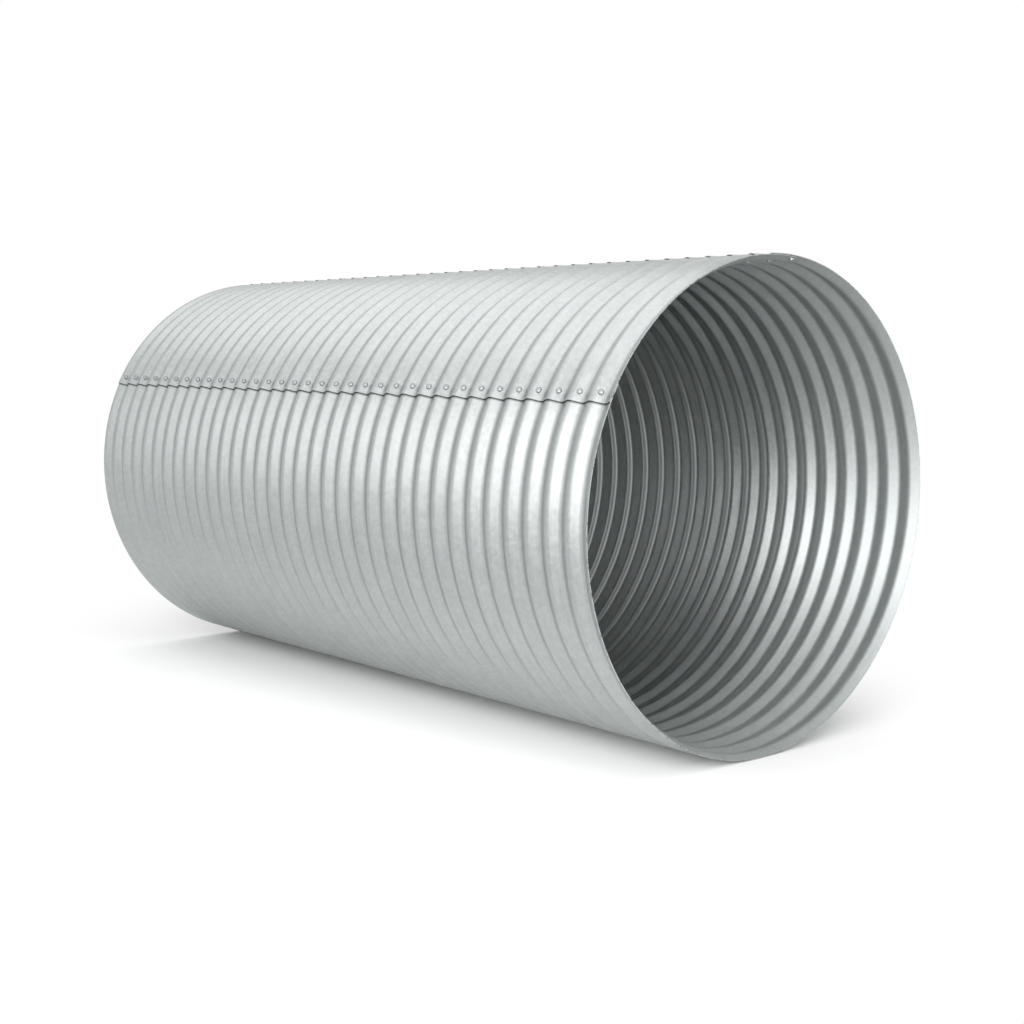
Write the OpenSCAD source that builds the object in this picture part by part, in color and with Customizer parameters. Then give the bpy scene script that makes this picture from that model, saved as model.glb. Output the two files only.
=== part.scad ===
// Riveted corrugated steel pipe culvert, lying on the ground.
// The pipe lies along X with +Z up. The origin is on the ground, below the middle of the pipe.
// Angles round the pipe start at +Y and turn over the top.

/* [Barrel] */
// Radius over the outside of the crests
crest_r = 614; // [450:1:900]
// Length of one corrugation
pitch = 68; // [64:1:82]
// Number of corrugations along the pipe
corrugations = 34; // [8:2:42]
// Distance from the -X end to the middle of the first crest
first_crest = 6.5; // [0:0.5:7]

/* [Sheet] */
// Thickness of the steel sheet
sheet_t = 2; // [1.3:0.1:2.8]
// Depth of a corrugation, from crest to valley
depth = 13; // [10:0.5:16]
// Bend radius of crests and valleys, at the middle of the sheet
bend_r = 18.5; // [15:0.5:20]

/* [Seams] */
// Angle of the rivets that hold the crown sheet's lower edge
side_seam = 151; // [135:0.5:165]
// Angle of the rivets that hold the crown sheet's upper edge
top_seam = 84.5; // [75:0.5:95]
// Distance from a row of rivets to the edge of a sheet
edge_margin = 20; // [14:1:30]
// Distance from the upper row of rivets to the barrel sheet's edge, which lies loose past it
top_reach = 87; // [14:1:100]
// Room between two nested sheets, measured square to their slopes
nest_gap = 0.3; // [0.2:0.05:0.6]

/* [Rivets] */
// Diameter of a rivet's shank
shank_d = 8; // [6:0.5:10]
// Diameter of a rivet's domed head
head_d = 14.5; // [12:0.5:17]
// Height of the head
head_h = 5; // [3:0.5:7]
// Diameter of the hammered tail inside the pipe
tail_d = 12.5; // [11:0.5:15]
// Height of the tail
tail_h = 3.5; // [2:0.5:5]
// Room round the shank in its holes
hole_gap = 0.15; // [0.1:0.05:0.4]
// Room between a head or a tail and the sheet that it closes on
seat_gap = 0.1; // [0.05:0.05:0.3]

/* [Hidden] */
$fn = 96;
RIVETS_A_NODE = 2;
BEND_FLATS = 3;
// The side rivets stand on the slopes that face +X, and the top ones on those that face -X.
SIDE_FACING = 1;
TOP_FACING = -1;
ZINC = [0.80, 0.82, 0.82];
RIVET_ZINC = [0.70, 0.72, 0.72];

pipe_length = corrugations * pitch;
axis_z = crest_r;

// A slope is the straight line that touches a crest's bend and the next valley's bend.
bend_drop = 2 * bend_r - depth;
slope_length = sqrt(pow(pitch / 2, 2) + pow(bend_drop, 2) - pow(2 * bend_r, 2));
slope = atan2(2 * bend_r, slope_length) - atan2(bend_drop, pitch / 2);

// Each bend is rolled as flats, and the middle flat of a crest is at the full crest radius.
crest_centre_r = crest_r - (bend_r + sheet_t / 2) * cos(slope / BEND_FLATS);
valley_centre_r = crest_centre_r + bend_drop;
mid_slope_r = (crest_centre_r + valley_centre_r) / 2;

// Where the sheets end, as angles
function arc_angle(length) = length / mid_slope_r * 180 / PI;
barrel_from = side_seam - arc_angle(edge_margin);
barrel_to = top_seam + arc_angle(top_reach);
crown_from = top_seam - arc_angle(edge_margin);
crown_to = side_seam + arc_angle(edge_margin);

// The crown sheet lies outside the barrel sheet at its lower edge and inside it at its upper
// edge, so its centre is moved off the barrel's. The two sheets lie closest at the barrel
// sheet's edges, where they are one lap rise apart, square to the slopes.
lap_rise = sheet_t + nest_gap;
lap_middle = (barrel_from + barrel_to) / 2;
crown_shift = lap_rise / cos(slope) / sin(barrel_from - lap_middle);

// How far outside the barrel sheet the crown sheet lies at an angle, square to the slopes
function crown_rise(angle) = crown_shift * sin(angle - lap_middle) * cos(slope);

// The crown sheet's face leans against the barrel sheet's by at most this much in a millimetre.
crown_lean = crown_shift / mid_slope_r;

rivet_nodes = ceil(corrugations / RIVETS_A_NODE);

function two_digits(n) = n < 10 ? str("0", n) : str(n);

// Place of crest number k, counted from the -X end
function crest_x(k) = -pipe_length / 2 + first_crest + k * pitch;

// A crest's bend and the next valley's bend, on the face that lies "out" from the sheet's middle
function corrugation(k, out) = concat(
    [for (i = [0:BEND_FLATS])
        let (a = slope * (2 * i / BEND_FLATS - 1))
        [crest_centre_r + (bend_r + out) * cos(a), crest_x(k) + (bend_r + out) * sin(a)]],
    [for (i = [0:BEND_FLATS])
        let (a = slope * (1 - 2 * i / BEND_FLATS))
        [valley_centre_r - (bend_r - out) * cos(a),
         crest_x(k) + pitch / 2 - (bend_r - out) * sin(a)]]
);

// One face of the sheet, a corrugation longer than the pipe at each end
function sheet_face(out) = [for (k = [-1:corrugations]) each corrugation(k, out)];

function reversed(list) = [for (i = [len(list) - 1:-1:0]) list[i]];

// The sheet from end to end, cut square to the pipe
module sheet_section() {
    intersection() {
        polygon(concat(sheet_face(sheet_t / 2), reversed(sheet_face(-sheet_t / 2))));
        translate([0, -pipe_length / 2])
            square([crest_r + sheet_t, pipe_length]);
    }
}

// A sheet rolled to the barrel's radius, from one angle to another
module rolled_sheet(from, to) {
    translate([0, 0, axis_z])
        rotate([90, 0, 90])
            rotate([0, 0, from])
                rotate_extrude(angle = to - from)
                    sheet_section();
}

// Puts its children on the slope below crest number k that faces +X, or with "facing" -1 on the
// next slope, which faces -X. Their +Z is square to the slope, and they stand midway between
// the middles of the barrel sheet's slope and the crown sheet's.
module on_slope(seam, k, facing) {
    slide = -facing * crown_rise(seam) * tan(slope) / 2;
    translate([0, 0, axis_z])
        rotate([seam - 90, 0, 0])
            translate([crest_x(k) + (2 - facing) * pitch / 4, 0, mid_slope_r])
                rotate([0, facing * slope, 0])
                    translate([slide, 0, 0])
                        children();
}

module rivet_holes(seam, facing) {
    for (k = [0:corrugations - 1])
        on_slope(seam, k, facing)
            cylinder(h = 6 * lap_rise, d = shank_d + 2 * hole_gap, center = true);
}

module all_rivet_holes() {
    rivet_holes(side_seam, SIDE_FACING);
    rivet_holes(top_seam, TOP_FACING);
}

// A flat round seat of diameter d clears a sheet that is curved and leans
function seat_room(d) = seat_gap + d / 2 * (d / 4 / mid_slope_r + crown_lean);

// Domed head, shank and hammered tail of a rivet that closes the faces at "low" and "high"
module rivet(low, high) {
    head_sphere_r = (pow(head_d / 2, 2) + pow(head_h, 2)) / (2 * head_h);
    tail_seat = low - seat_room(tail_d);
    head_seat = high + seat_room(head_d);
    rotate_extrude() {
        translate([0, tail_seat - tail_h])
            square([tail_d / 2, tail_h]);
        translate([0, tail_seat - tail_h / 2])
            square([shank_d / 2, head_seat - tail_seat + (tail_h + head_h) / 2]);
        translate([0, head_seat])
            intersection() {
                translate([0, head_h - head_sphere_r])
                    circle(r = head_sphere_r);
                square([head_d / 2, head_h]);
            }
    }
}

module rivet_group(seam, facing, n) {
    rise = crown_rise(seam);
    first = (n - 1) * RIVETS_A_NODE;
    last = min(first + RIVETS_A_NODE, corrugations) - 1;
    color(RIVET_ZINC)
        for (k = [first:last])
            on_slope(seam, k, facing)
                rivet(min(rise, 0) - sheet_t / 2, max(rise, 0) + sheet_t / 2);
}

module barrel_sheet() {
    color(ZINC)
        difference() {
            rolled_sheet(barrel_from, 360 + barrel_to);
            all_rivet_holes();
        }
}

module crown_sheet() {
    color(ZINC)
        difference() {
            translate([0, -crown_shift * sin(lap_middle), crown_shift * cos(lap_middle)])
                rolled_sheet(crown_from, crown_to);
            all_rivet_holes();
        }
}

module side_rivets(n) {
    rivet_group(side_seam, SIDE_FACING, n);
}

module top_rivets(n) {
    rivet_group(top_seam, TOP_FACING, n);
}

barrel_sheet();
crown_sheet();
for (n = [1:rivet_nodes]) {
    side_rivets(n);
    top_rivets(n);
}
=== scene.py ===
# %% [markdown]
# # A riveted corrugated steel culvert
#
# The object is a length of drainage pipe: two sheets of galvanized steel, corrugated in rings,
# lapped along two seams and riveted there. The engineering model gives every size and place. This
# lesson makes the sheets and rivets again as smooth meshes, gives them their zinc finish, and
# lights them.

import math

import bmesh
import bpy
from mathutils import Matrix, Vector


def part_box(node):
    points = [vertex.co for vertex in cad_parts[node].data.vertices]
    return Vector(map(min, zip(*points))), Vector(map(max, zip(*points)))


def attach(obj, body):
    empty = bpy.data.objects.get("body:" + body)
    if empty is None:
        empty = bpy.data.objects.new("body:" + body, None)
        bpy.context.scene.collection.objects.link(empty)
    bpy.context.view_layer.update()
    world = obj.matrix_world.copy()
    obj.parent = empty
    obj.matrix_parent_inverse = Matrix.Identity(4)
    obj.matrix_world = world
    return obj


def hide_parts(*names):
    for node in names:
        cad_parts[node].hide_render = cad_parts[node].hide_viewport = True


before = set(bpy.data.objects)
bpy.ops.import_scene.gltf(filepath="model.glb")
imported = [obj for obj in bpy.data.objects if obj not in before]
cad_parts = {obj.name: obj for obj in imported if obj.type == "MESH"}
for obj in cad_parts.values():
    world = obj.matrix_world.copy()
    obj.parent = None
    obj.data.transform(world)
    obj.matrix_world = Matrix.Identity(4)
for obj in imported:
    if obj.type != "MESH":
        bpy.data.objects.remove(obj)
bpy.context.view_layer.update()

# %% [markdown]
# The pipe lies along X, on the ground at Z = 0, so its axis is one crest radius up. The barrel
# sheet runs most of the way round, and its box gives the length and that radius. The rest are the
# standard sizes of this corrugation and of its laps, in metres. Angles round the pipe start at +Y
# and turn over the top.

# %% Sizes
barrel_low, barrel_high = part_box("barrel_sheet")
PIPE_LENGTH = barrel_high[0] - barrel_low[0]
CREST_R = (barrel_high[1] - barrel_low[1]) / 2
CORRUGATIONS = 34
PITCH = PIPE_LENGTH / CORRUGATIONS
FIRST_CREST = 0.0065
SHEET_T = 0.002
DEPTH = 0.013
BEND_R = 0.0185
SIDE_SEAM = math.radians(151)
TOP_SEAM = math.radians(84.5)
EDGE_MARGIN = 0.020
TOP_REACH = 0.087
NEST_GAP = 0.0003
AXIS = Vector((0, 0, CREST_R))
print(f"pipe {PIPE_LENGTH:.4f} m long, {2 * CREST_R:.4f} m across, corrugation {PITCH:.4f} m")

# %% [markdown]
# Two bends joined by a straight slope make a corrugation. The slope's angle follows from the pitch,
# the depth and the bend radius.

# %% The corrugation's geometry
BEND_DROP = 2 * BEND_R - DEPTH
SLOPE_LENGTH = math.sqrt((PITCH / 2) ** 2 + BEND_DROP ** 2 - (2 * BEND_R) ** 2)
SLOPE = math.atan2(2 * BEND_R, SLOPE_LENGTH) - math.atan2(BEND_DROP, PITCH / 2)
CREST_CENTRE_R = CREST_R - SHEET_T / 2 - BEND_R
VALLEY_CENTRE_R = CREST_CENTRE_R + BEND_DROP
MID_SLOPE_R = (CREST_CENTRE_R + VALLEY_CENTRE_R) / 2
print(f"slopes at {math.degrees(SLOPE):.1f} degrees, {SLOPE_LENGTH * 1000:.1f} mm long")

# %% [markdown]
# Nested sheets lie a lap rise apart, measured square to their slopes. The crown sheet is outside
# the barrel sheet at its lower edge and inside it at its upper edge, so its own centre is a little
# off the barrel's. The two lie closest at the barrel sheet's edges.

# %% The laps
BARREL_FROM = SIDE_SEAM - EDGE_MARGIN / MID_SLOPE_R
BARREL_TO = TOP_SEAM + TOP_REACH / MID_SLOPE_R
CROWN_FROM = TOP_SEAM - EDGE_MARGIN / MID_SLOPE_R
CROWN_TO = SIDE_SEAM + EDGE_MARGIN / MID_SLOPE_R
LAP_RISE = SHEET_T + NEST_GAP
LAP_MIDDLE = (BARREL_FROM + BARREL_TO) / 2
CROWN_SHIFT = LAP_RISE / math.cos(SLOPE) / math.sin(BARREL_FROM - LAP_MIDDLE)


def crown_rise(angle):
    """How far outside the barrel sheet the crown sheet lies, square to the slopes."""
    return CROWN_SHIFT * math.sin(angle - LAP_MIDDLE) * math.cos(SLOPE)


for row, seam in (("side", SIDE_SEAM), ("top", TOP_SEAM)):
    print(f"at the {row} rivets the crown sheet lies {crown_rise(seam) * 1000:+.2f} mm out")

# %% [markdown]
# ## The camera
#
# It comes first, so that every later render is judged from the same place. It stands beside the
# pipe's near end, a little above its middle, and looks along the side and into the mouth. The lens
# shift slides the picture without turning the camera, as a view camera does.

# %% Camera
CAMERA_PLACE = Vector((3.551, -2.929, 1.004))
CAMERA_AZIMUTH = math.radians(141.74)
CAMERA_PITCH = math.radians(-9.39)
LENS_MM = 53.94
LENS_SHIFT = (0.078, 0.088)

camera_data = bpy.data.cameras.new("camera")
camera = bpy.data.objects.new("camera", camera_data)
bpy.context.collection.objects.link(camera)
camera_data.lens = LENS_MM
camera_data.sensor_width = 36.0
camera_data.shift_x, camera_data.shift_y = LENS_SHIFT
camera_data.clip_end = 200.0
look = Vector((
    math.cos(CAMERA_AZIMUTH) * math.cos(CAMERA_PITCH),
    math.sin(CAMERA_AZIMUTH) * math.cos(CAMERA_PITCH),
    math.sin(CAMERA_PITCH),
))
camera.location = CAMERA_PLACE
camera.rotation_euler = look.to_track_quat("-Z", "Y").to_euler()
bpy.context.scene.camera = camera
print("camera looks along", [round(c, 3) for c in look])

# %% [markdown]
# ## Working by operators
#
# Operators act on all that is selected, and the loaded nodes start out selected. So each piece
# begins with nothing selected, and each helper below leaves the piece in the mode that it found.

# %% Helpers for working by operators
# In metres: how near counts as touching, and how near counts as the same point
TOUCHING = 1e-5
SAME_POINT = 1e-6


def nothing_selected():
    """Leaves no object selected and none being edited."""
    if bpy.context.object and bpy.context.object.mode != "OBJECT":
        bpy.ops.object.mode_set(mode="OBJECT")
    bpy.ops.object.select_all(action="DESELECT")


def only(piece):
    """Makes one object the selected and active one."""
    nothing_selected()
    piece.select_set(True)
    bpy.context.view_layer.objects.active = piece


def apply_modifier(piece, kind, **settings):
    """Adds a modifier with these settings and applies it."""
    only(piece)
    modifier = piece.modifiers.new(kind.lower(), kind)
    for name, value in settings.items():
        setattr(modifier, name, value)
    bpy.ops.object.modifier_apply(modifier=modifier.name)


def triangles(piece):
    """How many triangles a piece's faces make."""
    return sum(len(face.vertices) - 2 for face in piece.data.polygons)


nothing_selected()

# %% [markdown]
# ## The corrugated sheets
#
# A mill rolls the corrugations into flat sheet, then curves it. A mesh can be made in the same
# order: first the profile of one corrugation, then a row of them, then the sweep round the pipe.
# The profile is drawn with two operators. Spin swings its end round the centre of a bend, and
# extrude draws the straight slope. This gives arcs that run smoothly into their slopes, where a
# sine wave would look too soft. In a script with no window, spin turns against the right-hand rule.

# %% One corrugation, drawn by spinning and extruding its end
ARC_STEPS = 4
# Both ends are cut a little way down a crest's bend, where the sheet leans. Thickening then pushes
# one corner of the cut past the end by this much, so the wire is cut short by it.
END_LEAN = SHEET_T / 2 * FIRST_CREST / BEND_R


def swing(angle, centre_x, centre_r, steps):
    """Spins the end of the profile about a bend's centre, which lies above the axis."""
    centre = (centre_x, 0, CREST_R + centre_r)
    bpy.ops.mesh.spin(steps=steps, angle=-angle, center=centre, axis=(0, 1, 0))


def draw_corrugation():
    """A wire from the middle of a crest to the middle of the next one, over the top of the pipe.

    It starts as a plane that is merged into one point.
    """
    nothing_selected()
    bpy.ops.mesh.primitive_plane_add(size=PITCH, location=(0, 0, 0))
    wire = bpy.context.object
    bpy.ops.object.mode_set(mode="EDIT")
    bpy.ops.mesh.merge(type="CENTER")
    bpy.ops.transform.translate(value=(0, 0, CREST_R + CREST_CENTRE_R + BEND_R))
    run, fall = SLOPE_LENGTH * math.cos(SLOPE), SLOPE_LENGTH * math.sin(SLOPE)
    swing(SLOPE, 0, CREST_CENTRE_R, ARC_STEPS // 2)
    bpy.ops.mesh.extrude_region_move(TRANSFORM_OT_translate={"value": (run, 0, -fall)})
    swing(-2 * SLOPE, PITCH / 2, VALLEY_CENTRE_R, ARC_STEPS)
    bpy.ops.mesh.extrude_region_move(TRANSFORM_OT_translate={"value": (run, 0, fall)})
    swing(SLOPE, PITCH, CREST_CENTRE_R, ARC_STEPS // 2)
    bpy.ops.object.mode_set(mode="OBJECT")
    return wire


def draw_profile():
    """The sheet's section from end to end, cut square at both ends of the pipe."""
    wire = draw_corrugation()
    apply_modifier(
        wire, "ARRAY", count=CORRUGATIONS + 2, use_relative_offset=False, use_constant_offset=True,
        constant_offset_displace=(PITCH, 0, 0), use_merge_vertices=True, merge_threshold=TOUCHING,
    )
    bpy.ops.object.mode_set(mode="EDIT")
    bpy.ops.mesh.select_all(action="SELECT")
    bpy.ops.transform.translate(value=(FIRST_CREST - PITCH - PIPE_LENGTH / 2, 0, 0))
    for end in (-1, 1):
        bpy.ops.mesh.select_all(action="SELECT")
        bpy.ops.mesh.bisect(
            plane_co=(end * (PIPE_LENGTH / 2 - END_LEAN), 0, 0), plane_no=(end, 0, 0),
            clear_outer=True, threshold=SAME_POINT)
    bpy.ops.object.mode_set(mode="OBJECT")
    return wire


profile = draw_profile()
print("profile", len(profile.data.vertices), "points,", len(profile.data.edges), "edges")

# %% [markdown]
# Each sheet is the profile swept round the axis from one edge to the other, then given the steel's
# thickness. The normals are made to agree and to point outwards before that, because on a closed
# shell the same step would turn the inner wall round.

# %% Rolling a sheet
ROLL_STEP = math.radians(2.5)


def faces_outwards(piece):
    """Whether the first face of a sheet looks away from the pipe's axis."""
    face = piece.data.polygons[0]
    return face.normal.dot(face.center - Vector((face.center.x, 0, CREST_R))) > 0


def roll_sheet(name, start, end, shift):
    """The profile swept from one angle to another about an axis moved by "shift", and thickened."""
    only(profile)
    bpy.ops.object.duplicate()
    sheet = bpy.context.object
    sheet.name = sheet.data.name = name
    bpy.ops.object.mode_set(mode="EDIT")
    bpy.ops.mesh.select_all(action="SELECT")
    bpy.ops.transform.rotate(value=math.pi / 2 - start, orient_axis="X", center_override=AXIS)
    steps = round((end - start) / ROLL_STEP)
    bpy.ops.mesh.spin(steps=steps, angle=start - end, center=AXIS, axis=(1, 0, 0))
    bpy.ops.mesh.select_all(action="SELECT")
    bpy.ops.mesh.remove_doubles(threshold=SAME_POINT)
    bpy.ops.mesh.normals_make_consistent(inside=False)
    bpy.ops.transform.translate(value=shift)
    bpy.ops.object.mode_set(mode="OBJECT")
    if not faces_outwards(sheet):
        sheet.data.flip_normals()
    apply_modifier(sheet, "SOLIDIFY", thickness=SHEET_T, offset=0, use_even_offset=True)
    span = round(math.degrees(end - start), 1)
    print(name, "spans", span, "degrees in", steps, "steps,", triangles(sheet), "triangles")
    return sheet


barrel = roll_sheet(
    "barrel_of_corrugated_sheet", BARREL_FROM, BARREL_TO + 2 * math.pi, Vector())
crown = roll_sheet(
    "crown_of_corrugated_sheet", CROWN_FROM, CROWN_TO,
    CROWN_SHIFT * Vector((0, -math.sin(LAP_MIDDLE), math.cos(LAP_MIDDLE))))
bpy.data.objects.remove(profile)

# %% [markdown]
# Smooth shading hides the facets of the bends, but a sheared edge is sharp. Shading smooth by
# angle keeps every edge that turns by more than the limit, which is all of the sheet's rim and
# nothing of its bends. A bevel on every rim edge would do the same for a thicker plate, but on
# 2 mm of sheet it would be finer than anyone can see.

# %% Shade the sheets
SHEET_SHARP_FROM = math.radians(40)

for sheet in (barrel, crown):
    only(sheet)
    bpy.ops.object.shade_smooth_by_angle(angle=SHEET_SHARP_FROM)
    sharp = sum(edge.use_edge_sharp for edge in sheet.data.edges)
    print(sheet.name, "keeps", sharp, "sharp edges of", len(sheet.data.edges))

# %% [markdown]
# ## The rivets
#
# A rivet has a low domed head outside, a shank through both sheets and a hammered tail inside. One
# is modelled: the head is a disc whose rim is bevelled into a dome, and the shank and tail are
# extruded from its underside. The set's centre mark is a small inset on top.

# %% One rivet
SHANK_D = 0.008
HEAD_D = 0.0145
HEAD_H = 0.005
TAIL_D = 0.0125
TAIL_H = 0.0035
SEAT_ROOM = 0.0002
RIVET_SIDES = 24
TAIL_ROUNDING = 0.0012
DOME_ROUNDING = 0.0043
MARK_INSET = 0.0010
MARK_DEPTH = 0.0004
RIVET_SHARP_FROM = math.radians(35)
# A face lies flat when its normal rises more than the first of these. On the dome it belongs to the
# skirt when its normal rises less than the second.
FLAT_RISE = 0.99
SKIRT_RISE = 0.90


def select_disc(piece, height):
    """Selects the faces that lie flat at this height."""
    bpy.ops.mesh.select_all(action="DESELECT")
    bpy.ops.mesh.select_mode(type="FACE")
    mesh = bmesh.from_edit_mesh(piece.data)
    for face in mesh.faces:
        level = abs(face.calc_center_median().z - height) < TOUCHING
        face.select = level and abs(face.normal.z) > FLAT_RISE
    bmesh.update_edit_mesh(piece.data)


def make_rivet(name, low, high):
    """A rivet along Z that closes two faces at the heights "low" and "high"."""
    nothing_selected()
    seat, tail_seat = high + SEAT_ROOM, low - SEAT_ROOM
    bpy.ops.mesh.primitive_cylinder_add(
        vertices=RIVET_SIDES, radius=HEAD_D / 2, depth=HEAD_H, location=(0, 0, seat + HEAD_H / 2))
    rivet = bpy.context.object
    rivet.name = rivet.data.name = name
    bpy.ops.object.transform_apply(location=True)
    bpy.ops.object.mode_set(mode="EDIT")
    select_disc(rivet, seat)
    bpy.ops.mesh.inset(thickness=(HEAD_D - SHANK_D) / 2)
    bpy.ops.mesh.extrude_region_move(TRANSFORM_OT_translate={"value": (0, 0, tail_seat - seat)})
    bpy.ops.mesh.extrude_region_move()
    bpy.ops.transform.resize(value=(TAIL_D / SHANK_D, TAIL_D / SHANK_D, 1))
    bpy.ops.mesh.extrude_region_move(TRANSFORM_OT_translate={"value": (0, 0, -TAIL_H)})
    bpy.ops.mesh.bevel(offset=TAIL_ROUNDING, segments=3, affect="EDGES")
    select_disc(rivet, seat + HEAD_H)
    bpy.ops.mesh.bevel(offset=DOME_ROUNDING, segments=6, affect="EDGES")
    select_disc(rivet, seat + HEAD_H)
    bpy.ops.mesh.inset(thickness=MARK_INSET)
    bpy.ops.mesh.inset(thickness=MARK_DEPTH, depth=-MARK_DEPTH)
    bpy.ops.object.mode_set(mode="OBJECT")
    bpy.ops.object.shade_smooth_by_angle(angle=RIVET_SHARP_FROM)
    # Faces of the head that slope more than its top go to the second slot. On the side rivets that
    # slot is painted dark, as shade.
    for face in rivet.data.polygons:
        face.material_index = int(face.center.z > seat and face.normal.z < SKIRT_RISE)
    heights = [vertex.co.z * 1000 for vertex in rivet.data.vertices]
    print(f"{name} {triangles(rivet)} triangles, z {min(heights):.2f} to {max(heights):.2f} mm")
    return rivet


def make_seam_rivet(name, seam):
    """A rivet as long as the two sheets need at this seam."""
    rise = crown_rise(seam)
    return make_rivet(name, min(rise, 0) - SHEET_T / 2, max(rise, 0) + SHEET_T / 2)


side_rivet = make_seam_rivet("side_rivet", SIDE_SEAM)
top_rivet = make_seam_rivet("top_rivet", TOP_SEAM)

# %% [markdown]
# Each corrugation takes one rivet at each seam: at the side on the slope that faces the near end,
# at the top on the one that faces the far end, so that its tail looks out of the mouth. The
# engineering model keeps them two to a node, so two copies here are joined to stand for one node.
# Each copy is turned about its own axis, so that no two catch the light in quite the same way.

# %% Set the rivets along both seams
RIVETS_A_NODE = 2
FACING_NEAR_END, FACING_FAR_END = 1, -1
GOLDEN_ANGLE = math.radians(137.5)


def rivet_place(seam, facing, crest):
    """The transform that stands a rivet square on a slope past a crest, midway down it.

    The slope that faces +X is a quarter of a corrugation past the crest, and the one that faces
    -X is three quarters past it.
    """
    crest_x = FIRST_CREST + crest * PITCH - PIPE_LENGTH / 2
    slide = -facing * crown_rise(seam) * math.tan(SLOPE) / 2
    return (
        Matrix.Translation(AXIS) @ Matrix.Rotation(seam - math.pi / 2, 4, "X")
        @ Matrix.Translation((crest_x + (2 - facing) * PITCH / 4, 0, MID_SLOPE_R))
        @ Matrix.Rotation(facing * SLOPE, 4, "Y")
        @ Matrix.Translation((slide, 0, 0)) @ Matrix.Rotation(crest * GOLDEN_ANGLE, 4, "Z")
    )


def set_rivets(pattern, row, seam, facing):
    """Copies a rivet along a seam, joins the copies that share a node, and returns the pieces."""
    pieces = []
    for first in range(0, CORRUGATIONS, RIVETS_A_NODE):
        copies = []
        for crest in range(first, min(first + RIVETS_A_NODE, CORRUGATIONS)):
            copy = pattern.copy()
            copy.data = pattern.data.copy()
            copy.data.transform(rivet_place(seam, facing, crest))
            bpy.context.collection.objects.link(copy)
            copies.append(copy)
        only(copies[0])
        for copy in copies:
            copy.select_set(True)
        bpy.ops.object.join()
        node = f"{row}_{first // RIVETS_A_NODE + 1:02d}"
        copies[0].name = copies[0].data.name = node + "_forged"
        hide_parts(node)
        pieces.append(copies[0])
    bpy.data.objects.remove(pattern)
    return pieces


side_rivets = set_rivets(side_rivet, "side_rivets", SIDE_SEAM, FACING_NEAR_END)
top_rivets = set_rivets(top_rivet, "top_rivets", TOP_SEAM, FACING_FAR_END)
for piece in (side_rivets[0], top_rivets[-1]):
    heights = [(piece.matrix_world @ vertex.co).z for vertex in piece.data.vertices]
    print(f"{piece.name} lies from z {min(heights):.4f} to {max(heights):.4f} m")

# %% [markdown]
# ## The finish
#
# Galvanized steel is rolled sheet with a skin of zinc. Three things show in it: the zinc's
# crystals, which are called spangle and differ a little in tone and gloss, fine streaks along the
# way that the sheet ran through the rolls, and a soft uneven haze where the zinc has weathered.
# Three more show where the pipe has been cut, lapped or sheltered from the rain: specks on the cut
# ends, a line of painted shade under the lap, and inside, zinc that keeps its gloss and is painted
# darker, as shade, towards the middle. Each is a node group with one mask or tone as its output, so
# that the sheets and the rivets can use it at their own strengths. Writing the nodes by hand in
# each material would also work, but then every change is made six times.

# %% Helpers for node trees
VECTOR_INPUT = ("Vector", "NodeSocketVector", None)
TONE_OUTPUT = ("Tone", "NodeSocketFloat")
MASK_OUTPUT = ("Mask", "NodeSocketFloat")


def new_group(name, inputs, outputs):
    """An empty node group with named sockets, and its two end nodes."""
    group = bpy.data.node_groups.new(name, "ShaderNodeTree")
    for socket, kind, default in inputs:
        made = group.interface.new_socket(socket, in_out="INPUT", socket_type=kind)
        if default is not None:
            made.default_value = default
    for socket, kind in outputs:
        group.interface.new_socket(socket, in_out="OUTPUT", socket_type=kind)
    start = group.nodes.new("NodeGroupInput")
    end = group.nodes.new("NodeGroupOutput")
    return group, start, end


def add(tree, kind, wires=None, **settings):
    """Adds a node, sets its properties, and links its inputs or gives them values.

    The inputs are called by name or number.
    """
    node = tree.nodes.new(kind)
    for name, value in settings.items():
        setattr(node, name, value)
    for socket, source in (wires or {}).items():
        if hasattr(source, "is_output"):
            tree.links.new(source, node.inputs[socket])
        else:
            node.inputs[socket].default_value = source
    return node


# %% [markdown]
# The spangle is a Voronoi pattern whose cells each take one flat random tone, as crystals do. Noise
# bends the cells' borders, because real crystals don't meet in straight lines.

# %% Spangle
CRYSTAL_SIZE = 0.008
BORDER_WANDER = 0.006


def build_spangle():
    """Crystals of one size, each with a tone of its own."""
    group, start, end = new_group(
        "zinc_spangle", [VECTOR_INPUT, ("Crystal size", "NodeSocketFloat", CRYSTAL_SIZE)],
        [TONE_OUTPUT])
    scale = add(group, "ShaderNodeMath", {
        0: 1.0, 1: start.outputs["Crystal size"]}, operation="DIVIDE")
    bent = add(group, "ShaderNodeTexNoise", {
        "Vector": start.outputs["Vector"], "Scale": 60.0, "Detail": 2.0})
    wander = add(group, "ShaderNodeVectorMath", {
        0: bent.outputs["Color"], 1: [BORDER_WANDER] * 3}, operation="MULTIPLY")
    place = add(group, "ShaderNodeVectorMath", {
        0: start.outputs["Vector"], 1: wander.outputs["Vector"]}, operation="ADD")
    cells = add(group, "ShaderNodeTexVoronoi", {
        "Vector": place.outputs["Vector"], "Scale": scale.outputs[0]}, feature="F1")
    tone = add(group, "ShaderNodeSeparateColor", {0: cells.outputs["Color"]})
    group.links.new(tone.outputs[0], end.inputs["Tone"])
    return group


SPANGLE = build_spangle()
print("effect:", SPANGLE.name)

# %% [markdown]
# The streaks are noise that is squeezed along X, so it stretches round the pipe, the way the sheet
# ran through the corrugating rolls. Haze is plain noise at the size of a hand, as damp storage
# leaves it.

# %% Streaks and haze
STREAKS_A_METRE = (150.0, 3.0, 3.0)


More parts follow.
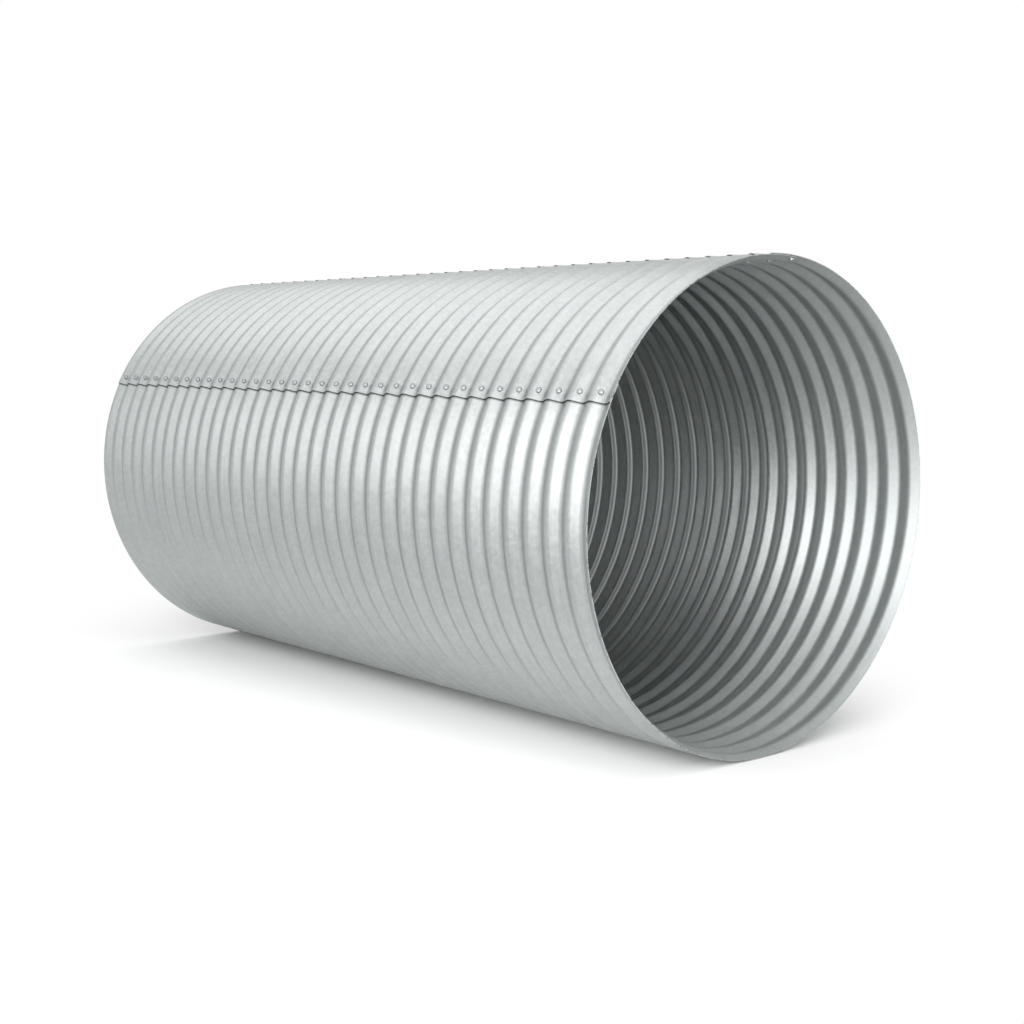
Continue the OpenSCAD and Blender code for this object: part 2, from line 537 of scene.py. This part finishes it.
def build_streaks():
    """Streaks round the pipe, many to a metre along it and few the other ways."""
    group, start, end = new_group("rolling_streaks", [VECTOR_INPUT], [TONE_OUTPUT])
    stretch = add(group, "ShaderNodeMapping", {
        "Vector": start.outputs["Vector"], "Scale": STREAKS_A_METRE})
    streaks = add(group, "ShaderNodeTexNoise", {
        "Vector": stretch.outputs["Vector"], "Scale": 1.0, "Detail": 2.0, "Roughness": 0.6})
    group.links.new(streaks.outputs["Fac"], end.inputs["Tone"])
    return group


def build_haze():
    """Soft clouds about as wide as a hand, with finer ones in them."""
    group, start, end = new_group("weathered_haze", [VECTOR_INPUT], [TONE_OUTPUT])
    broad = add(group, "ShaderNodeTexNoise", {
        "Vector": start.outputs["Vector"], "Scale": 9.0, "Detail": 6.0, "Roughness": 0.62})
    group.links.new(broad.outputs["Fac"], end.inputs["Tone"])
    return group


STREAKS, HAZE = build_streaks(), build_haze()
print("effects:", STREAKS.name, HAZE.name)

# %% [markdown]
# A dark line of painted shade, just below the crown sheet's lower edge, stands for the shade in the
# lap under it. A band in the angle round the pipe gives the line, which then follows the edge
# however the sheet waves. A sheared end is bare and takes specks. Sun and rain dull the inside near
# the mouths, and further in the zinc keeps its first gloss and is painted a little darker, as shade
# deeper in the pipe. That is a smooth step in the distance from the middle of the pipe.

# %% The lap's painted shade line, the specks and the sheltered zinc with its painted shade
# The crown sheet's own centre is off the axis, so its edge lies further round than its own angle.
CROWN_EDGE = CROWN_TO + CROWN_SHIFT * math.cos(CROWN_TO - LAP_MIDDLE) / MID_SLOPE_R
# The line starts this far under the edge, and has faded away at its width past the edge.
LAP_LINE_TUCK = 0.0005
LAP_LINE_WIDTH = 0.006
# Specks show where the noise passes the first tone, and are full from the second.
SPECK_FROM, SPECK_FULL = 0.56, 0.64
# Distances from the middle of the pipe, where the full weathering ends and the full shelter starts.
# The sheltered zinc is glossier, and is painted darker as shade
WEATHERED_TO, SHELTERED_FROM = 1.10, 0.45


def build_lap_shade_line():
    """Painted shade, dark just below the crown sheet's lower edge and fading down the barrel sheet.
    """
    group, start, end = new_group(
        "lap_shade_line",
        [VECTOR_INPUT, ("Edge angle", "NodeSocketFloat", CROWN_EDGE),
         ("Width", "NodeSocketFloat", LAP_LINE_WIDTH)],
        [MASK_OUTPUT])
    apart = add(group, "ShaderNodeSeparateXYZ", {0: start.outputs["Vector"]})
    height = add(group, "ShaderNodeMath", {
        0: apart.outputs["Z"], 1: CREST_R}, operation="SUBTRACT")
    angle = add(group, "ShaderNodeMath", {
        0: height.outputs[0], 1: apart.outputs["Y"]}, operation="ARCTAN2")
    turn = add(group, "ShaderNodeMath", {
        0: angle.outputs[0], 1: start.outputs["Edge angle"]}, operation="SUBTRACT")
    past = add(group, "ShaderNodeMath", {
        0: turn.outputs[0], 1: MID_SLOPE_R}, operation="MULTIPLY")
    fade = add(group, "ShaderNodeMapRange", {
        0: past.outputs[0], 1: 0.0, 2: start.outputs["Width"], 3: 1.0, 4: 0.0})
    below = add(group, "ShaderNodeMath", {
        0: past.outputs[0], 1: -LAP_LINE_TUCK}, operation="GREATER_THAN")
    mask = add(group, "ShaderNodeMath", {
        0: fade.outputs[0], 1: below.outputs[0]}, operation="MULTIPLY")
    group.links.new(mask.outputs[0], end.inputs["Mask"])
    return group


def build_specks():
    """Small dark specks, sparse, as on a sheared edge."""
    group, start, end = new_group("edge_specks", [VECTOR_INPUT], [MASK_OUTPUT])
    grain = add(group, "ShaderNodeTexNoise", {
        "Vector": start.outputs["Vector"], "Scale": 120.0, "Detail": 2.0, "Roughness": 0.6})
    mask = add(group, "ShaderNodeMapRange", {
        0: grain.outputs["Fac"], 1: SPECK_FROM, 2: SPECK_FULL, 3: 0.0, 4: 1.0})
    group.links.new(mask.outputs[0], end.inputs["Mask"])
    return group


def build_shelter_and_shade():
    """Grows from the ends to the middle, where neither sun nor rain reaches and shade is painted.
    """
    group, start, end = new_group(
        "sheltered_zinc_and_shade",
        [VECTOR_INPUT, ("Weathered to", "NodeSocketFloat", WEATHERED_TO),
         ("Sheltered from", "NodeSocketFloat", SHELTERED_FROM)],
        [MASK_OUTPUT])
    apart = add(group, "ShaderNodeSeparateXYZ", {0: start.outputs["Vector"]})
    away = add(group, "ShaderNodeMath", {0: apart.outputs["X"]}, operation="ABSOLUTE")
    grow = add(group, "ShaderNodeMapRange", {
        0: away.outputs[0], 1: start.outputs["Weathered to"], 2: start.outputs["Sheltered from"],
        3: 0.0, 4: 1.0}, interpolation_type="SMOOTHSTEP")
    group.links.new(grow.outputs[0], end.inputs["Mask"])
    return group


LAP_SHADE_LINE, SPECKS, SHELTER_AND_SHADE = build_lap_shade_line(), build_specks(), build_shelter_and_shade()
print("effects:", LAP_SHADE_LINE.name, SPECKS.name, SHELTER_AND_SHADE.name)

# %% [markdown]
# The finish is metal all through, so its colour is the tint of what it mirrors. The three tones
# are added into one grain, which shifts the colour and the gloss together, as it does on real
# zinc: a duller crystal is also a paler one. The outer faces are pale and fairly glossy. The inner
# faces are duller, and painted a little darker, as shade. The ends are bare sheared steel. The long
# edges lie in the laps and are painted dark, as the laps' shade, and the side rivets' crowns are
# brighter than the skirts, which are painted dark as the shade round each dome's foot.
# A roughness texture could be painted instead, but a grain from noise has no seam on a long sheet.

# %% The zinc finish
GRAIN_SHARES = ((SPANGLE, 0.25), (STREAKS, 0.45), (HAZE, 0.30))
# The grain keeps between these two tones nearly everywhere.
GRAIN_LOW, GRAIN_HIGH = 0.2, 0.8
# The dark colour that the masks mix in: painted shade in the lap line and the sheltered inside,
# dirt in the specks on the sheared ends.
SHADE_AND_DIRT = (0.05, 0.052, 0.05)


def zinc_material(name, dark, light, smooth, rough, stain_and_shade=None, darkening=0.0, dulling=0.0):
    """Zinc on steel, whose tone and gloss follow the spangle, the streaks and the haze.

    An effect's mask mixes in this share of the dark colour, and adds this much roughness.
    That colour is painted shade in the lap line and the sheltered inside, and dirt in the specks.
    """
    material = bpy.data.materials.new(name)
    material.use_nodes = True
    tree = material.node_tree
    shader = tree.nodes["Principled BSDF"]
    place = add(tree, "ShaderNodeTexCoord").outputs["Object"]
    grain = 0.0
    for group, share in GRAIN_SHARES:
        effect = add(tree, "ShaderNodeGroup", {"Vector": place}, node_tree=group)
        grain = add(tree, "ShaderNodeMath", {
            0: effect.outputs["Tone"], 1: share, 2: grain}, operation="MULTIPLY_ADD").outputs[0]
    colour = add(tree, "ShaderNodeMix", {
        0: grain, 6: (*dark, 1), 7: (*light, 1)}, data_type="RGBA").outputs[2]
    gloss = add(tree, "ShaderNodeMapRange", {
        0: grain, 1: GRAIN_LOW, 2: GRAIN_HIGH, 3: smooth, 4: rough}).outputs[0]
    if stain_and_shade:
        mask = add(tree, "ShaderNodeGroup", {"Vector": place}, node_tree=stain_and_shade).outputs["Mask"]
        darkened = add(tree, "ShaderNodeMath", {
            0: mask, 1: darkening}, operation="MULTIPLY").outputs[0]
        colour = add(tree, "ShaderNodeMix", {
            0: darkened, 6: colour, 7: (*SHADE_AND_DIRT, 1)}, data_type="RGBA").outputs[2]
        gloss = add(tree, "ShaderNodeMath", {
            0: mask, 1: dulling, 2: gloss}, operation="MULTIPLY_ADD").outputs[0]
    tree.links.new(colour, shader.inputs["Base Color"])
    tree.links.new(gloss, shader.inputs["Roughness"])
    shader.inputs["Metallic"].default_value = 1.0
    return material


# The outer faces take the lap's line of painted shade, nearly black, which also dulls them a
# little.
outer_zinc = zinc_material(
    "outer_sheet_zinc", (0.34, 0.36, 0.358), (0.52, 0.54, 0.537), 0.33, 0.43,
    stain_and_shade=LAP_SHADE_LINE, darkening=0.97, dulling=0.15)
# The inner faces are painted a little darker than the outer ones, as shade, and darker still as
# they near the middle, as deeper shade. Near the middle they are also glossier.
inner_shaded_zinc = zinc_material(
    "inner_sheet_zinc_painted_shade", (0.31, 0.33, 0.327), (0.49, 0.51, 0.507), 0.57, 0.67,
    stain_and_shade=SHELTER_AND_SHADE, darkening=0.08, dulling=-0.25)
edge_zinc = zinc_material(
    "sheared_edge", (0.44, 0.46, 0.455), (0.52, 0.54, 0.535), 0.40, 0.46,
    stain_and_shade=SPECKS, darkening=0.8, dulling=0.2)
# The long edges in the laps are painted dark, as the laps' shade.
lap_edge_painted_shade = zinc_material("lapped_edge_painted_shade", (0.13, 0.135, 0.13), (0.20, 0.205, 0.20), 0.45, 0.55)
rivet_zinc = zinc_material("rivet_crown", (0.26, 0.27, 0.27), (0.32, 0.33, 0.33), 0.55, 0.65)
# The side rivets' skirts are painted nearly black, as the shade round the foot of each dome.
skirt_painted_shade = zinc_material(
    "rivet_skirt_painted_shade", (0.07, 0.075, 0.075), (0.12, 0.125, 0.125), 0.45, 0.55)
print("finishes:", ", ".join(sorted(m.name for m in bpy.data.materials)))

# %% [markdown]
# A face's direction says which finish it takes. Along the pipe's axis means a sheared end, across
# it and level with the sheet means a lapped edge, and the rest is outside or inside by which way
# it faces. The rivets take theirs from the slope of the dome, which was marked when one was
# modelled: the side rivets' skirts are painted dark, as the shade round each dome's foot, and the
# top rivets take the sheets' own finishes. Each piece is also told which body it rides, and the
# node that each sheet replaces is hidden.

# %% Give each piece its finish and its body, and hide the nodes that the sheets replace
OUTER, INNER, SHEARED, LAPPED = range(4)
# How far a sheared end's normal lies along the pipe, at least, and how far a lapped edge's lies
# in or out, at most
SHEARED_ALONG = 0.85
LAPPED_OUT = 0.3


def finish_sheet(sheet):
    """Gives a sheet's outer and inner faces, sheared ends and lapped edges their finishes."""
    for zinc in (outer_zinc, inner_shaded_zinc, edge_zinc, lap_edge_painted_shade):
        sheet.data.materials.append(zinc)
    for face in sheet.data.polygons:
        outwards = Vector((0, face.center.y, face.center.z - CREST_R)).normalized()
        out = face.normal.dot(outwards)
        if abs(face.normal.x) > SHEARED_ALONG:
            face.material_index = SHEARED
        elif abs(out) < LAPPED_OUT:
            face.material_index = LAPPED
        else:
            face.material_index = INNER if out < 0 else OUTER


for sheet, node in ((barrel, "barrel_sheet"), (crown, "crown_sheet")):
    finish_sheet(sheet)
    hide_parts(node)
    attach(sheet, "root")
# The side rivets take a darker crown and a skirt painted dark as shade. The top rivets take the
# sheets' own finishes.
for piece in side_rivets + top_rivets:
    darkened = piece in side_rivets
    piece.data.materials.append(rivet_zinc if darkened else edge_zinc)
    piece.data.materials.append(skirt_painted_shade if darkened else outer_zinc)
    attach(piece, "root")
for sheet in (barrel, crown):
    slots = [face.material_index for face in sheet.data.polygons]
    counts = [slots.count(slot) for slot in (OUTER, INNER, SHEARED, LAPPED)]
    print(sheet.name, "outer, inner, sheared and lapped faces:", counts)

# %% [markdown]
# ## Floor and light
#
# The pipe lies in a white studio on a plain pale floor. Near the pipe the floor is ordinary matt
# paint and takes the pipe's shadow. Further off it fades into a glow as bright as white, but only
# where the camera, a mirror or a glass looks at it. So it meets the white surround without an edge,
# and the zinc mirrors the floor that is seen. A curved backdrop would hide the horizon too, but
# from one side only.

# %% Floor
FLOOR_SIZE = 80.0
FLOOR_TONE = 0.78
# Distances from the pipe's centre line, laid on the floor, between which the paint turns to glow
FLOOR_FADE = (0.35, 1.35)

nothing_selected()
bpy.ops.mesh.primitive_plane_add(size=FLOOR_SIZE, location=(0, 0, 0))
floor = bpy.context.object
floor.name = floor.data.name = "studio_floor"
floor_paint = bpy.data.materials.new("floor_paint")
floor_paint.use_nodes = True
tree = floor_paint.node_tree
paint = tree.nodes["Principled BSDF"]
paint.inputs["Base Color"].default_value = (FLOOR_TONE, FLOOR_TONE, FLOOR_TONE, 1)
paint.inputs["Roughness"].default_value = 0.9
place = add(tree, "ShaderNodeTexCoord").outputs["Object"]
beside = add(tree, "ShaderNodeVectorMath", {0: place}, operation="ABSOLUTE")
past = add(tree, "ShaderNodeVectorMath", {
    0: beside.outputs["Vector"], 1: (PIPE_LENGTH / 2, 0, 0)}, operation="SUBTRACT")
beyond = add(tree, "ShaderNodeVectorMath", {
    0: past.outputs["Vector"], 1: (0, 0, 0)}, operation="MAXIMUM")
distance = add(tree, "ShaderNodeVectorMath", {0: beyond.outputs["Vector"]}, operation="LENGTH")
fade = add(tree, "ShaderNodeMapRange", {
    0: distance.outputs["Value"], 1: FLOOR_FADE[0], 2: FLOOR_FADE[1], 3: 0.0, 4: 1.0},
    interpolation_type="SMOOTHSTEP")
path = add(tree, "ShaderNodeLightPath")
mirrored = add(tree, "ShaderNodeMath", {
    0: path.outputs["Is Camera Ray"], 1: path.outputs["Is Glossy Ray"]}, operation="MAXIMUM")
seen = add(tree, "ShaderNodeMath", {
    0: mirrored.outputs[0], 1: path.outputs["Is Transmission Ray"]}, operation="MAXIMUM")
share = add(tree, "ShaderNodeMath", {0: seen.outputs[0], 1: fade.outputs[0]}, operation="MULTIPLY")
glow = add(tree, "ShaderNodeEmission", {"Color": (1, 1, 1, 1), "Strength": 1.0})
mixed = add(tree, "ShaderNodeMixShader", {
    0: share.outputs[0], 1: paint.outputs[0], 2: glow.outputs[0]})
tree.links.new(mixed.outputs[0], tree.nodes["Material Output"].inputs["Surface"])
floor.data.materials.append(floor_paint)
print(f"{floor.name} fades {FLOOR_FADE[0]} to {FLOOR_FADE[1]} m from the pipe's line")

# %% [markdown]
# Metal shows its surroundings, so soft light means large lamps. The world is white all round. One
# large lamp hangs overhead and lifts the top of the pipe. A long one stands at the side, where it
# draws the broad highlight under the side seam. The third stands before the mouth and is narrowed,
# so that it reaches into the pipe and not over the floor. Each corrugation inside then has one
# slope that mirrors it and one that mirrors the dark depth of the pipe.

# %% Light
def softbox(name, place, target, size, brightness, spread=180):
    """An area lamp of this size, aimed at a point. Its spread, in degrees, narrows what it lights.

    Without a spread it is as bright to look at as the number says.
    """
    lamp_data = bpy.data.lights.new(name, "AREA")
    lamp_data.shape = "RECTANGLE"
    lamp_data.size, lamp_data.size_y = size
    lamp_data.energy = brightness * math.pi * size[0] * size[1]
    lamp_data.spread = math.radians(spread)
    lamp = bpy.data.objects.new(name, lamp_data)
    bpy.context.collection.objects.link(lamp)
    lamp.location = place
    lamp.rotation_euler = (Vector(target) - Vector(place)).to_track_quat("-Z", "Y").to_euler()
    print(name, "is", size, "m and", round(lamp_data.energy), "W")


softbox("lamp_overhead", (0.0, -0.6, 4.5), (0, 0, 0.6), (6, 4), 0.85)
softbox("lamp_side", (0.8, -4.6, 2.4), (0.4, 0, 0.7), (5.6, 3.4), 0.85)
softbox("lamp_front", (3.8, -3.9, 1.9), (0.8, 0.2, 0.6), (3.2, 3.8), 2.6, spread=80)

world = bpy.data.worlds.new("studio")
world.use_nodes = True
bpy.context.scene.world = world
tree = world.node_tree
background = tree.nodes["Background"]
background.inputs["Color"].default_value = (1, 1, 1, 1)
background.inputs["Strength"].default_value = 1.0
bpy.context.scene.view_settings.view_transform = "Standard"
